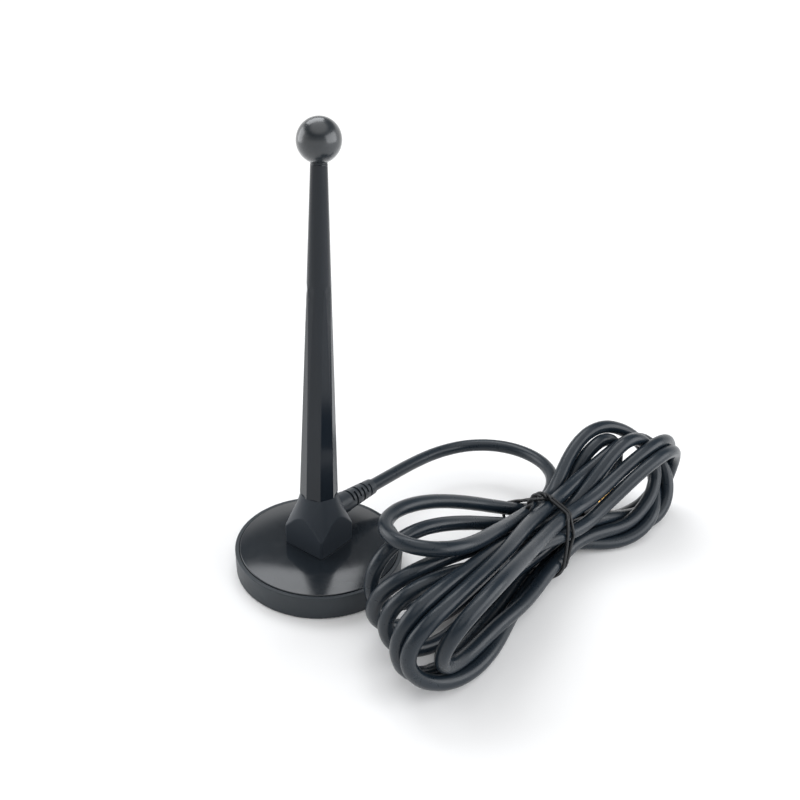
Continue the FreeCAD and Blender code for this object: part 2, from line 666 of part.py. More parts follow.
def main():
    pieces = {
        "bottom_pad": bottom_pad(),
        "ring_magnet": ring_magnet(),
        "steel_cup": steel_cup(),
        "base_housing": base_housing(),
        "base_cover": base_cover(),
        "mast_sleeve": mast_sleeve(),
        "ball_tip": ball_tip(),
        "mast_insert": mast_insert(),
        "feed_stud": feed_stud(),
        "radiator_rod": radiator_rod(),
        "coil_former": coil_former(),
        "loading_coil": loading_coil(),
        "strain_relief": strain_relief(),
        "cable_root": cable_root(),
        "inner_core": inner_core(),
        "inner_conductor": inner_conductor(),
        "braid_clip": braid_clip(),
        "cable_lead": cable_lead(),
        "cable_hank": cable_hank(),
        "cable_tail": cable_tail(),
        "twist_tie": twist_tie(),
        "heat_shrink": heat_shrink(),
        "crimp_ferrule": crimp_ferrule(),
        "connector_body": connector_body(),
        "insulator": insulator(),
        "contact_pin": contact_pin(),
        "retaining_ring": retaining_ring(),
        "gasket": gasket(),
        "coupling_nut": coupling_nut(),
    }
    for number, piece in enumerate(screws(0), 1):
        pieces[f"cover_screw_{number}"] = piece
    os.makedirs("parts", exist_ok=True)
    for name, shape in pieces.items():
        if len(shape.Solids) != 1 or not shape.isValid():
            print("check", name, "solids", len(shape.Solids), "valid", shape.isValid())
        shape.exportStep(f"parts/{name}.step")


main()
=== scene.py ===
# %% [markdown]
# # A magnetic mount antenna with its coaxial cable
# The antenna is a tapered mast with a ball tip, on a square hub that flares out of a round magnet base.
# A thin coaxial cable leaves the hub through a slotted strain relief and lies beside the base in a hank,
# tied off its middle with coated wire. Nearly everything is black plastic, so the lesson is about gloss:
# the same dark colour looks different on a polished ball, a satin wall and a soft cable jacket.

# %% Start from the measured frame
import math

import bmesh
import bpy
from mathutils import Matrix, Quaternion, Vector, kdtree


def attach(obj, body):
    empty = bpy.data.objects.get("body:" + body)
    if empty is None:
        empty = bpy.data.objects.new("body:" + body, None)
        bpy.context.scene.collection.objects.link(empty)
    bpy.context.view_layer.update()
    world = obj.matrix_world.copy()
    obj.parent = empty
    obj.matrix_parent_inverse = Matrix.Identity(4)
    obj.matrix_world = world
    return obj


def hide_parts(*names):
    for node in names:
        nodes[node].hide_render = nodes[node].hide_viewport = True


MM = 0.001
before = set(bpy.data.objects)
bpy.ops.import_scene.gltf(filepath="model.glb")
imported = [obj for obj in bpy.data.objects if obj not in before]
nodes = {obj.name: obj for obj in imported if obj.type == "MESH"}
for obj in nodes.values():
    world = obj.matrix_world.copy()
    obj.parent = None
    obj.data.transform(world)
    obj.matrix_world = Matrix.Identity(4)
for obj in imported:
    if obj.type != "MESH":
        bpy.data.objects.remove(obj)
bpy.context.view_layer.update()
scene = bpy.context.scene
scene.view_settings.view_transform = "Standard"
print("pieces in the frame:", len(nodes))

# %% [markdown]
# ## Camera
# The photograph looks down at about 28 degrees, from about 0.4 m away from the base. The picture is a crop
# whose middle isn't on the lens's axis, so the camera keeps a small sideways shift instead of a turn:
# the mast then stays upright, as it does in the photograph.

# %% Camera
PICTURE = 800
FOCAL_PIXELS = 900
AXIS_COLUMN = 318.9
SENSOR = 36.0
CAMERA_PLACE = (0, -0.305, 0.2394)
CAMERA_DOWN = 27.84
camera_data = bpy.data.cameras.new("camera")
camera_data.sensor_width = SENSOR
camera_data.lens = SENSOR * FOCAL_PIXELS / PICTURE
camera_data.shift_x = (PICTURE / 2 - AXIS_COLUMN) / PICTURE
camera = bpy.data.objects.new("camera", camera_data)
camera.location = CAMERA_PLACE
camera.rotation_euler = (math.radians(90 - CAMERA_DOWN), 0, 0)
scene.collection.objects.link(camera)
scene.camera = camera
print("lens", round(camera_data.lens, 1), "mm")

# %% [markdown]
# ## The cable's route
# The cable is one length of 5.7 mm coax: a lead that swings round behind the base, then six and a half turns
# of a hank, pinched by the tie and springing apart on both sides of it, then a short tail with the connector.
# A hank could be drawn point by point, but its turns follow a rule. Each half turn is a drop-shaped lobe that
# leaves the tie, widens, rounds its tip and comes back, so three points describe it: its first side where it
# is widest, its tip, and its second side. They were chosen against the photograph, and are given along
# the hank, across it and in height.

# %% Points of the route
CABLE = 5.7
TIE = Vector((102.0, 8.0, 15.5))
HANK_TURN = math.radians(44)
ALONG = Vector((math.cos(HANK_TURN), math.sin(HANK_TURN), 0))
ACROSS = Vector((-math.sin(HANK_TURN), math.cos(HANK_TURN), 0))
UP = Vector((0, 0, 1))
LEAD = (
    (22.71, 26.59, 21.24), (30.4, 35.6, 20.2), (43.6, 50.8, 18.6), (58.5, 64.0, 17.4),
    (75.5, 68.3, 18.6), (92.5, 62.5, 20.0), (104.3, 47.8, 20.8), (106.5, 29.5, 20.3),
)
# First side, tip and second side of each lobe, then how pinched its root is
LOBES = (
    ((-60, 25, 43), (-91, 21, 46), (-80, -6, 46), 1.2),
    ((44, 8, 42), (64, -10, 22), (38, -19, 4), 0.4),
    ((-85, -19, 3), (-115, -11, 21), (-91, -16, 40), 1.1),
    ((50, -3, 38), (62, -14, 20), (41, -19, 5), 1.2),
    ((-90, -13, 3), (-113, -7, 20), (-95, -12, 41), 1.2),
    ((40, -6, 43), (56, -13, 25), (42, -18, 7), 1.2),
    ((-77, -17, 3), (-106, -20, 22), (-82, -24, 41), 1.2),
    ((50, -14, 39), (71, -12, 21), (52, -12, 3), 1.3),
    ((-84, -4, 3), (-107, 5, 21), (-89, -6, 40), 1.3),
    ((47, -17, 39), (68, -13, 21), (49, -15, 4), 1.3),
    ((-71, 18, 4), (-97, 21, 23), (-75, 16, 42), 1.2),
    ((34, 5, 40), (52, 3, 25), (38, 4, 8), 1.1),
    ((-77, 6, 4), (-102, 16, 18), (-88, 0, 41), 1.3),
)
# Places of the strands under the tie, across the hank and above its middle
STRANDS = (
    (9, 2), (7, 8), (-3, -10.5), (1.5, 10.5), (2.6, -10.5), (-0.5, 5.2), (-7.5, -7),
    (-4.5, 8.5), (-2, -5.5), (-9.5, 3), (-6, -1), (9.5, -3.5), (6, -8), (0, -0.5),
)
HOLD = 5.0
BLUNT = 0.3
LOBE_STEPS = (50, 85, 115, 147, 180, 213, 245, 275, 310)
WIDEST = math.radians(112)
CONNECTOR_TURN = math.radians(42)
CONNECTOR_AXIS = Vector((math.cos(CONNECTOR_TURN), math.sin(CONNECTOR_TURN), 0))
CONNECTOR_FOOT = Vector((TIE.x, TIE.y, 14.0))
TAIL = (14.0, 21.0)


def hank_point(along, across, height):
    """Point of the hank from its distance along and across and its height above the floor."""
    place = TIE + ALONG * along + ACROSS * across
    return Vector((place.x, place.y, height))


def strand(number, along):
    """Place of one strand under the tie."""
    across, above = STRANDS[number]
    return TIE + ACROSS * across + UP * above + ALONG * along


def lobe(start, end, first, tip, second, root):
    """Points of one half turn between two strands of the tie."""
    side_peak = math.sin(WIDEST) * math.sin(WIDEST / 2) ** root
    bow_peak = (math.sin(WIDEST) * math.sin(WIDEST / 2)) ** 2
    reach_at_widest = (1 - math.cos(WIDEST)) / 2
    reach_at_widest *= 1 + BLUNT * (1 - reach_at_widest)
    middle = (start + end) / 2
    half = (first - second) / 2
    bow = (first + second) / 2 - middle.lerp(tip, reach_at_widest)
    points = []
    for step in LOBE_STEPS:
        turn = math.radians(step)
        base = start.lerp(end, step / 360)
        reach = (1 - math.cos(turn)) / 2
        reach *= 1 + BLUNT * (1 - reach)
        side = math.sin(turn) * math.sin(turn / 2) ** root / side_peak
        lift = (math.sin(turn) * math.sin(turn / 2)) ** 2 / bow_peak
        point = base.lerp(tip, reach) + half * side + bow * lift
        points.append(point)
    return points


route = [Vector(point) for point in LEAD]
side = 1
for number, (first, tip, second, root) in enumerate(LOBES):
    side = -side
    start = strand(number, HOLD * side)
    end = strand(number + 1, HOLD * side)
    route += [strand(number, -HOLD * side), start]
    route += lobe(start, end, hank_point(*first), hank_point(*tip), hank_point(*second), root)
route += [strand(len(LOBES), -HOLD), strand(len(LOBES), HOLD)]
route += [CONNECTOR_FOOT + CONNECTOR_AXIS * distance for distance in TAIL]
print("points of the route:", len(route))

# %% [markdown]
# ## Letting the turns settle
# Fourteen strands drawn by a rule run through each other here and there, and real ones can't. So the line is
# read from a first spline at even steps, and every step is pushed away from the steps of other turns that are
# nearer than one cable's thickness. The pushes are spread along the cable, so that it gives way in a soft
# curve. The base, the connector and the floor push too. The ends stay where they are.

# %% Settle the turns
STEP = 3.0
SETTLING = 80
PLAY = 0.15
FIXED_ENDS = 5
BASE_RADIUS = 35.0
BASE_PLAY = 0.5
BASE_TOP = 10.2
CONNECTOR = (12.0, 42.0)
CONNECTOR_RADIUS = 5.0
OWN_TAIL_STEPS = 10
SAME_BEND = 4 * CABLE
LEAST_DISTANCE = 0.5
WIRE = 0.65
UNDER_TIE = 20


def laid(name, points):
    """Curve object with one open spline."""
    data = bpy.data.curves.new(name, "CURVE")
    data.dimensions = "3D"
    spline = data.splines.new("NURBS")
    spline.points.add(len(points) - 1)
    for control, point in zip(spline.points, points):
        control.co = (*(point * MM), 1)
    spline.order_u = 3
    spline.use_endpoint_u = True
    spline.resolution_u = 6
    made = bpy.data.objects.new(name, data)
    scene.collection.objects.link(made)
    return made


def line_of(made):
    """Points along a curve without bevel, in millimetres."""
    bpy.context.view_layer.update()
    mesh = bpy.data.meshes.new_from_object(made.evaluated_get(bpy.context.evaluated_depsgraph_get()))
    points = [vertex.co / MM for vertex in mesh.vertices]
    bpy.data.meshes.remove(mesh)
    return points


def even_steps(line, step):
    """Points at even distances along a line, with its last point."""
    points = [line[0]]
    left = step
    for first, second in zip(line, line[1:]):
        length = (second - first).length
        while left <= length:
            points.append(first.lerp(second, left / length))
            left += step
        left -= length
    return points + [line[-1]]


def push_from(point, axis_point, radius):
    """Push of a round obstacle on one point of the cable."""
    away = point - axis_point
    gap = away.length - radius - CABLE / 2
    return away.normalized() * -gap if gap < 0 else Vector()


def pushes(points):
    """Push on each point from other turns, the base, the connector and the floor; and the deepest overlap."""
    rest = CABLE + PLAY
    tree = kdtree.KDTree(len(points))
    for number, point in enumerate(points):
        tree.insert(point, number)
    tree.balance()
    found = []
    deepest = 0.0
    for number, point in enumerate(points):
        near = []
        for other, index, distance in tree.find_range(point, rest):
            if abs(index - number) * STEP > SAME_BEND:
                near.append((point - other) * ((rest - distance) / max(distance, LEAST_DISTANCE) / 2))
                deepest = max(deepest, rest - distance)
        push = sum(near, Vector()) / max(len(near), 1)
        if point.z < BASE_TOP + CABLE / 2:
            push += push_from(point, Vector((0, 0, point.z)), BASE_RADIUS + BASE_PLAY)
        along = (point - CONNECTOR_FOOT).dot(CONNECTOR_AXIS)
        if CONNECTOR[0] < along < CONNECTOR[1] and number < len(points) - OWN_TAIL_STEPS:
            push += push_from(point, CONNECTOR_FOOT + CONNECTOR_AXIS * along, CONNECTOR_RADIUS)
        wire = 2 * WIRE if (point - TIE).length < UNDER_TIE else 0.0
        push.z += max(0.0, CABLE / 2 + PLAY + wire - (point.z + push.z))
        found.append(push)
    return found, deepest


raw_object = laid("raw_route", route)
raw = even_steps(line_of(raw_object), STEP)
bpy.data.objects.remove(raw_object)
shifts = [Vector() for _ in raw]
for round_number in range(SETTLING):
    found, deepest = pushes([point + shift for point, shift in zip(raw, shifts)])
    if round_number == 0:
        print("deepest overlap before settling", round(deepest, 1), "mm")
    shifts = [shift + push for shift, push in zip(shifts, found)]
    inner = [(a + b * 2 + c) / 4 for a, b, c in zip(shifts, shifts[1:], shifts[2:])]
    shifts = [Vector()] + inner + [Vector()]
    for number in range(FIXED_ENDS):
        shifts[number] = Vector()
        shifts[-1 - number] = Vector()
settled_route = [point + shift for point, shift in zip(raw, shifts)]
print("deepest overlap after", round(pushes(settled_route)[1], 1), "mm, largest shift",
      round(max(shift.length for shift in shifts), 1), "mm")

# %% [markdown]
# ## The cable
# A bevelled curve is the natural way to make a cable: one smooth spline and one thickness. Every third of the
# settled steps is enough to hold its shape. The line is read once more without its bevel, because the tie has
# to find the strands that it holds.

# %% Cable
coax_cable = laid("coax_cable", settled_route[:-1:3] + settled_route[-1:])
cable_line = line_of(coax_cable)
cable_curve = coax_cable.data
cable_curve.bevel_depth = CABLE / 2 * MM
cable_curve.bevel_resolution = 5
cable_curve.use_fill_caps = True

# %% [markdown]
# ## Colours and nodes
# Colours are written as the hex values that a screen shows, and one function turns them to the linear values
# that the shader works with. One more function adds a node, its settings and its links, so that a material
# reads as a short list.


# %% Colour and node helpers
def linear(text):
    """Linear colour with alpha from an sRGB hex value."""
    channels = []
    for start in (0, 2, 4):
        value = int(text[start:start + 2], 16) / 255
        channels.append(value / 12.92 if value <= 0.04045 else ((value + 0.055) / 1.055) ** 2.4)
    return (*channels, 1)


def add(tree, kind, inputs=None, **settings):
    """Add a node; an input is a value or another node's output."""
    made = tree.nodes.new(kind)
    for name, value in settings.items():
        setattr(made, name, value)
    for name, value in (inputs or {}).items():
        if isinstance(value, bpy.types.NodeSocket):
            tree.links.new(value, made.inputs[name])
        else:
            made.inputs[name].default_value = value
    return made


# %% [markdown]
# ## Moulded plastics
# Black plastic is never one black. A moulding shows slow drifts of tone where it cooled, a fine grain from
# the tool's surface, and a little dust that dulls the gloss in patches. Each plastic below gets these three
# at its own scale: a drift in colour, a drift in roughness, and a grain in the bump.


# %% Plastic materials
def plastic(name, dark, pale, gloss, dull, drift_mm, grain_mm, grain_depth_mm, ior=1.5):
    """Moulded or extruded polymer with a drift of tone and gloss and a fine grain."""
    material = bpy.data.materials.new(name)
    material.use_nodes = True
    tree = material.node_tree
    shader = tree.nodes["Principled BSDF"]
    shader.inputs["IOR"].default_value = ior
    place = add(tree, "ShaderNodeTexCoord").outputs["Object"]
    drift = add(tree, "ShaderNodeTexNoise", {"Vector": place, "Scale": 1 / (drift_mm * MM), "Detail": 5.0})
    tone = add(tree, "ShaderNodeMix", {"Factor": drift.outputs["Fac"], 6: linear(dark), 7: linear(pale)},
               data_type="RGBA")
    dust = add(tree, "ShaderNodeTexNoise",
               {"Vector": place, "Scale": 3.7 / (drift_mm * MM), "Detail": 8.0, "Roughness": 0.7})
    matt = add(tree, "ShaderNodeMapRange", {"Value": dust.outputs["Fac"], "From Min": 0.3, "From Max": 0.75,
                                            "To Min": gloss, "To Max": dull})
    grain = add(tree, "ShaderNodeTexNoise", {"Vector": place, "Scale": 1 / (grain_mm * MM), "Detail": 2.0})
    bump = add(tree, "ShaderNodeBump", {"Height": grain.outputs["Fac"], "Strength": 0.5,
                                        "Distance": grain_depth_mm * MM})
    tree.links.new(tone.outputs[2], shader.inputs["Base Color"])
    tree.links.new(matt.outputs[0], shader.inputs["Roughness"])
    tree.links.new(bump.outputs[0], shader.inputs["Normal"])
    return material


# Lacquered ball: clear coat over half gloss, so that it mirrors the lamps more than the mast does
lacquer = plastic("clear_lacquer_on_abs", "141c22", "1c242b", 0.3, 0.36, 14, 4, 0.003)
lacquer.node_tree.nodes["Principled BSDF"].inputs["Coat Weight"].default_value = 0.75
lacquer.node_tree.nodes["Principled BSDF"].inputs["Coat Roughness"].default_value = 0.17
# Drawn mast: half gloss, so that the flats catch the light as soft bands
mast_abs = plastic("half_gloss_abs", "151b21", "1b222a", 0.15, 0.21, 30, 6, 0.003, ior=1.4)
# Eroded tool: an even satin with a grain of about a quarter of a millimetre
satin_abs = plastic("satin_abs", "1c242a", "242c33", 0.42, 0.52, 10, 0.28, 0.015)
# Flexible vinyl: a clear sheen and slow waves from the extruder
vinyl_jacket = plastic("vinyl_jacket", "161f27", "1e2831", 0.24, 0.36, 22, 5, 0.03, ior=1.43)
vinyl_relief = plastic("vinyl_strain_relief", "242a30", "2d343b", 0.34, 0.46, 8, 0.5, 0.01)
coated_wire = plastic("vinyl_coated_wire", "141618", "1e2023", 0.42, 0.6, 5, 0.5, 0.02)
shrink_sleeve = plastic("polyolefin_shrink_sleeve", "17181a", "212325", 0.42, 0.6, 5, 0.9, 0.04)
pad_rubber = plastic("pressed_rubber", "1c1d1e", "2a2b2c", 0.7, 0.88, 7, 0.6, 0.08, ior=1.52)
white_polymer = plastic("fluoropolymer", "d8d7d2", "eceae6", 0.38, 0.55, 2, 0.2, 0.005, ior=1.38)
red_silicone = plastic("silicone_rubber", "7c2219", "9a3024", 0.45, 0.62, 1.5, 0.2, 0.01, ior=1.42)
ferrite = plastic("sintered_ferrite", "2e2c2b", "454240", 0.66, 0.85, 3, 0.25, 0.03, ior=2.2)
print("materials so far, with the frame's own:", len(bpy.data.materials))

# %% [markdown]
# ## Plated and bare metals
# The connector's gold is a thin plate on turned brass, so fine turning lines show through it. The cup under
# the base is zinc plated sheet, dull and slightly blotched. A metal takes its colour from its reflection, so
# each one only needs a base colour, a roughness that varies, and a faint tool mark.


# %% Metal materials
def metal(name, dark, pale, gloss, dull, patch_mm, mark_mm, mark_depth_mm):
    """Metal with patches of tone and roughness and fine tool marks."""
    material = bpy.data.materials.new(name)
    material.use_nodes = True
    tree = material.node_tree
    shader = tree.nodes["Principled BSDF"]
    shader.inputs["Metallic"].default_value = 1.0
    place = add(tree, "ShaderNodeTexCoord").outputs["Object"]
    patch = add(tree, "ShaderNodeTexNoise", {"Vector": place, "Scale": 1 / (patch_mm * MM), "Detail": 6.0})
    tone = add(tree, "ShaderNodeMix", {"Factor": patch.outputs["Fac"], 6: linear(dark), 7: linear(pale)},
               data_type="RGBA")
    matt = add(tree, "ShaderNodeMapRange", {"Value": patch.outputs["Fac"], "From Min": 0.3, "From Max": 0.7,
                                            "To Min": gloss, "To Max": dull})
    mark = add(tree, "ShaderNodeTexNoise", {"Vector": place, "Scale": 1 / (mark_mm * MM), "Detail": 3.0})
    bump = add(tree, "ShaderNodeBump", {"Height": mark.outputs["Fac"], "Strength": 0.4,
                                        "Distance": mark_depth_mm * MM})
    tree.links.new(tone.outputs[2], shader.inputs["Base Color"])
    tree.links.new(matt.outputs[0], shader.inputs["Roughness"])
    tree.links.new(bump.outputs[0], shader.inputs["Normal"])
    return material


gold_plate = metal("gold_plated_brass", "c4923f", "e0b562", 0.16, 0.3, 1.5, 0.15, 0.006)
zinc_plate = metal("zinc_plated_steel", "9a9ea2", "b9bcbe", 0.3, 0.48, 4, 0.3, 0.01)
bright_steel = metal("bright_spring_steel", "a3a5a8", "c0c2c4", 0.2, 0.34, 2, 0.2, 0.006)
turned_brass = metal("turned_brass", "a98743", "cfae66", 0.24, 0.4, 2, 0.2, 0.008)
bare_copper = metal("bare_copper_wire", "a95f3c", "cf8559", 0.24, 0.4, 1.5, 0.2, 0.006)

# %% [markdown]
# ## One moulding, two finishes
# The cover and the hub are one moulding, but the low dome is polished like a mirror while the hub has a half
# gloss. The tool was polished only on the dome, so the change follows the height: roughness and strength of
# reflection are mixed by the height of the surface above the floor, over half a millimetre. The hub also
# gets a paler base colour over the same blend, which is painted light that brightens its shaded faces.

# %% Cover material
DOME_TOP = 12.6
BLEND = 0.5
HUB_DULLNESS = 0.24
DOME_REFLECTION = 0.5
HUB_REFLECTION = 0.2
# Polished tool: sharp reflections, a trace of orange peel
cover_abs = plastic("polished_dome_half_gloss_hub", "1b2025", "22282e", 0.12, 0.2, 14, 4, 0.003, ior=1.54)
tree = cover_abs.node_tree
shader = tree.nodes["Principled BSDF"]
polish = shader.inputs["Roughness"].links[0].from_socket
place = add(tree, "ShaderNodeTexCoord").outputs["Object"]
height = add(tree, "ShaderNodeSeparateXYZ", {"Vector": place}).outputs["Z"]
on_hub = add(tree, "ShaderNodeMapRange", {"Value": height, "From Min": DOME_TOP * MM,
                                          "From Max": (DOME_TOP + BLEND) * MM}).outputs[0]
rough = add(tree, "ShaderNodeMath", {0: on_hub, 1: HUB_DULLNESS, 2: polish}, operation="MULTIPLY_ADD")
tree.links.new(rough.outputs[0], shader.inputs["Roughness"])
sheen = add(tree, "ShaderNodeMapRange",
            {"Value": on_hub, "To Min": DOME_REFLECTION, "To Max": HUB_REFLECTION})
tree.links.new(sheen.outputs[0], shader.inputs["Specular IOR Level"])
plain_tone = shader.inputs["Base Color"].links[0].from_socket
# Painted light: a paler base colour on the hub brightens its shaded faces
hub_painted_light = add(tree, "ShaderNodeMix", {"Factor": on_hub, 6: plain_tone, 7: linear("2b3138")}, data_type="RGBA")
tree.links.new(hub_painted_light.outputs[2], shader.inputs["Base Color"])
print("made", cover_abs.name)

# %% [markdown]
# ## Dressing the frame
# Each solid of the frame keeps its shape and only gets its finish. A table from finish to pieces keeps it
# readable.

# %% Finishes of the frame's pieces
FINISHES = {
    pad_rubber: ("bottom_pad",),
    ferrite: ("ring_magnet",),
    zinc_plate: ("steel_cup",),
    satin_abs: ("base_housing",),
    cover_abs: ("base_cover",),
    mast_abs: ("mast_sleeve",),
    lacquer: ("ball_tip",),
    turned_brass: ("mast_insert", "feed_stud", "braid_clip", "retaining_ring"),
    bright_steel: ("radiator_rod", "cover_screw_1", "cover_screw_2", "cover_screw_3"),
    white_polymer: ("coil_former", "inner_core", "insulator"),
    bare_copper: ("loading_coil", "inner_conductor"),
    vinyl_relief: ("strain_relief",),
    vinyl_jacket: ("cable_root",),
    shrink_sleeve: ("heat_shrink",),
    gold_plate: ("crimp_ferrule", "connector_body", "contact_pin", "coupling_nut"),
    red_silicone: ("gasket",),
}
for finish, names in FINISHES.items():
    for name in names:
        nodes[name].data.materials.clear()
        nodes[name].data.materials.append(finish)
cable_curve.materials.append(vinyl_jacket)
print("dressed:", sum(len(names) for names in FINISHES.values()))

# %% [markdown]
# ## Wire along a line
# The tie is thin coated wire, and a wire is a circle carried along a line. A small Geometry Nodes tree does
# that for any mesh of edges: it turns the edges into curves, sweeps a circle, closes the ends and sets the
# material. The result is turned into a plain mesh, because the finished piece needs no modifier.

# %% Wire tree
wire_tree = bpy.data.node_groups.new("wire_along_line", "GeometryNodeTree")
wire_tree.interface.new_socket("Line", in_out="INPUT", socket_type="NodeSocketGeometry")
radius_socket = wire_tree.interface.new_socket("Radius", in_out="INPUT", socket_type="NodeSocketFloat")
finish_socket = wire_tree.interface.new_socket("Finish", in_out="INPUT", socket_type="NodeSocketMaterial")
wire_tree.interface.new_socket("Wire", in_out="OUTPUT", socket_type="NodeSocketGeometry")
given = add(wire_tree, "NodeGroupInput")
curve = add(wire_tree, "GeometryNodeMeshToCurve", {"Mesh": given.outputs["Line"]})
circle = add(wire_tree, "GeometryNodeCurvePrimitiveCircle",
             {"Resolution": 12, "Radius": given.outputs["Radius"]})
swept = add(wire_tree, "GeometryNodeCurveToMesh",
            {"Curve": curve.outputs[0], "Profile Curve": circle.outputs[0], "Fill Caps": True})
smooth = add(wire_tree, "GeometryNodeSetShadeSmooth", {"Geometry": swept.outputs[0]})
real = add(wire_tree, "GeometryNodeRealizeInstances", {"Geometry": smooth.outputs[0]})
dressed = add(wire_tree, "GeometryNodeSetMaterial",
              {"Geometry": real.outputs[0], "Material": given.outputs["Finish"]})
add(wire_tree, "NodeGroupOutput", {"Wire": dressed.outputs[0]})


def settled(name, mesh, tree, values):
    """Object with a Geometry Nodes tree applied to a mesh, turned into a plain mesh."""
    raw = bpy.data.objects.new(name + "_raw", mesh)
    scene.collection.objects.link(raw)
    modifier = raw.modifiers.new("nodes", "NODES")
    modifier.node_group = tree
    for socket, value in values.items():
        modifier[socket.identifier] = value
    bpy.context.view_layer.update()
    result = bpy.data.meshes.new_from_object(raw.evaluated_get(bpy.context.evaluated_depsgraph_get()))
    bpy.data.objects.remove(raw)
    result.name = name
    made = bpy.data.objects.new(name, result)
    scene.collection.objects.link(made)
    return made


def line_mesh(name, lines, closed=False):
    """Mesh of edges from lists of points in millimetres."""
    mesh = bpy.data.meshes.new(name)
    points = []
    edges = []
    for one in lines:
        first = len(points)
        points += [point * MM for point in one]
        edges += [(first + step, first + step + 1) for step in range(len(one) - 1)]
        if closed:
            edges.append((first + len(one) - 1, first))
    mesh.from_pydata(points, edges, [])
    return mesh


# %% [markdown]
# ## Twist tie
# The tie goes twice round the hank and its ends are twisted together in a small arch on the far side. Pulled
# tight, it touches only the outermost strands and runs straight between them. So each point of a wrap is
# found by asking which strand lies furthest in that direction, and resting the wire on it.

# %% Tie wraps
WRAPS = ((-16.0, 6.0), (-12.5, 4.5))
WRAP_STEP = 6
WRAP_SLICE = 2
WRAP_REACH = 32
FLOOR_PLAY = 0.1
START_TURN = 90


def wrap(middle, lean):
    """One turn of wire that rests on the outermost strands, leaning along the hank."""
    points = []
    for step in range(0, 360 + WRAP_STEP, WRAP_STEP):
        turn = math.radians(START_TURN + step)
        aim = ACROSS * math.cos(turn) + UP * math.sin(turn)
        along = middle + lean * math.sin(turn)
        near = []
        for point in cable_line:
            offset = point - TIE
            if abs(offset.dot(ALONG) - along) < WRAP_SLICE and offset.length < WRAP_REACH:
                near.append(offset - ALONG * offset.dot(ALONG))
        outer = max(near, key=lambda offset: offset.dot(aim))
        point = TIE + outer + aim * (CABLE / 2 + WIRE) + ALONG * along
        point.z = max(point.z, WIRE + FLOOR_PLAY)
        points.append(point)
    return points


def eased(points, rounds):
    """Line with its corners softened, ends kept."""
    for _ in range(rounds):
        inner = [(a + b * 2 + c) / 4 for a, b, c in zip(points, points[1:], points[2:])]
        points = [points[0]] + inner + [points[-1]]
    return points


wraps = [eased(wrap(middle, lean), 2) for middle, lean in WRAPS]
knot = (wraps[0][0] + wraps[1][0]) / 2
print("tie knot at", [round(value, 1) for value in knot])

# %% Twisted ends of the tie
TWIST_PITCH = 5.5
ARCH_PARTS = 8
ARCH_EASING = 24
ARCH = (
    (0, 0, 0), (-3.0, 2.0, 2.6), (-6.5, 3.2, 3.4), (-10.0, 3.4, 1.6), (-11.5, 3.0, -2.0), (-12.2, 2.4, -4.6),
)
arch = [knot + ALONG * a + ACROSS * b + UP * c for a, b, c in ARCH]
fine = [arch[0]]
for first, second in zip(arch, arch[1:]):
    fine += [first.lerp(second, share / ARCH_PARTS) for share in range(1, ARCH_PARTS + 1)]
arch = eased(fine, ARCH_EASING)
twisted = [[], []]
run = 0.0
for before, point, after in zip([arch[0]] + arch, arch, arch[1:] + [arch[-1]]):
    forward = (after - before).normalized()
    across = forward.cross(ACROSS).normalized()
    other = forward.cross(across)
    run += (point - before).length
    turn = 2 * math.pi * run / TWIST_PITCH
    radial = across * math.cos(turn) + other * math.sin(turn)
    twisted[0].append(point + radial * WIRE)
    twisted[1].append(point - radial * WIRE)
tie_lines = [wraps[0] + twisted[0], wraps[1] + twisted[1]]
twist_tie = settled("wire_twist_tie", line_mesh("tie_lines", tie_lines), wire_tree,
                    {radius_socket: WIRE * MM, finish_socket: coated_wire})
print("tie faces:", len(twist_tie.data.polygons))

# %% [markdown]
# ## Two more swept lines
# The same tree serves twice more. A bead fills the groove where the ball meets the rounded end of the mast,
# so that the neck looks like one moulding. Inside the coupling nut a helix stands for the thread: a plain
# bore would give the connector away as a model as soon as one looks into it.

# %% Bead under the ball and thread in the nut
BEAD_HEIGHT = 168.75
BEAD_RING = 2.36
BEAD_RADIUS = 0.62
RING_STEPS = 48
THREAD_PITCH = 25.4 / 36
THREAD_REACH = (33.4, 37.9)
THREAD_RADIUS = 3.2
THREAD_WIRE = 0.3
TURN_STEPS = 40
bead_line = []
for step in range(RING_STEPS):
    turn = 2 * math.pi * step / RING_STEPS
    bead_line.append(Vector((BEAD_RING * math.cos(turn), BEAD_RING * math.sin(turn), BEAD_HEIGHT)))
ball_bead = settled("neck_bead", line_mesh("bead_line", [bead_line], closed=True), wire_tree,
                    {radius_socket: BEAD_RADIUS * MM, finish_socket: mast_abs})
sideways = CONNECTOR_AXIS.cross(UP)
thread_steps = int((THREAD_REACH[1] - THREAD_REACH[0]) / THREAD_PITCH * TURN_STEPS)
helix = []
for step in range(thread_steps + 1):
    turn = 2 * math.pi * step / TURN_STEPS
    along = THREAD_REACH[0] + THREAD_PITCH * step / TURN_STEPS
    spoke = sideways * math.cos(turn) + UP * math.sin(turn)
    helix.append(CONNECTOR_FOOT + CONNECTOR_AXIS * along + spoke * THREAD_RADIUS)
nut_thread = settled("nut_thread", line_mesh("helix", [helix]), wire_tree,
                     {radius_socket: THREAD_WIRE * MM, finish_socket: gold_plate})
print("turns of thread:", round(thread_steps / TURN_STEPS, 1))

# %% [markdown]
# ## Light
# The photograph's plain soft light can be read back from the gloss. The dome shows a pale crescent along its
# front edge, so a large panel hangs high behind the antenna, a little to the left and tilted. The ball shows
# that panel on its crown and two softer patches on its sides, from a softbox at the left and one at the right
# front. Each lamp is a rectangle aimed at the hub.

# %% Lamps
LAMP_AIM = Vector((0, 0, 0.03))


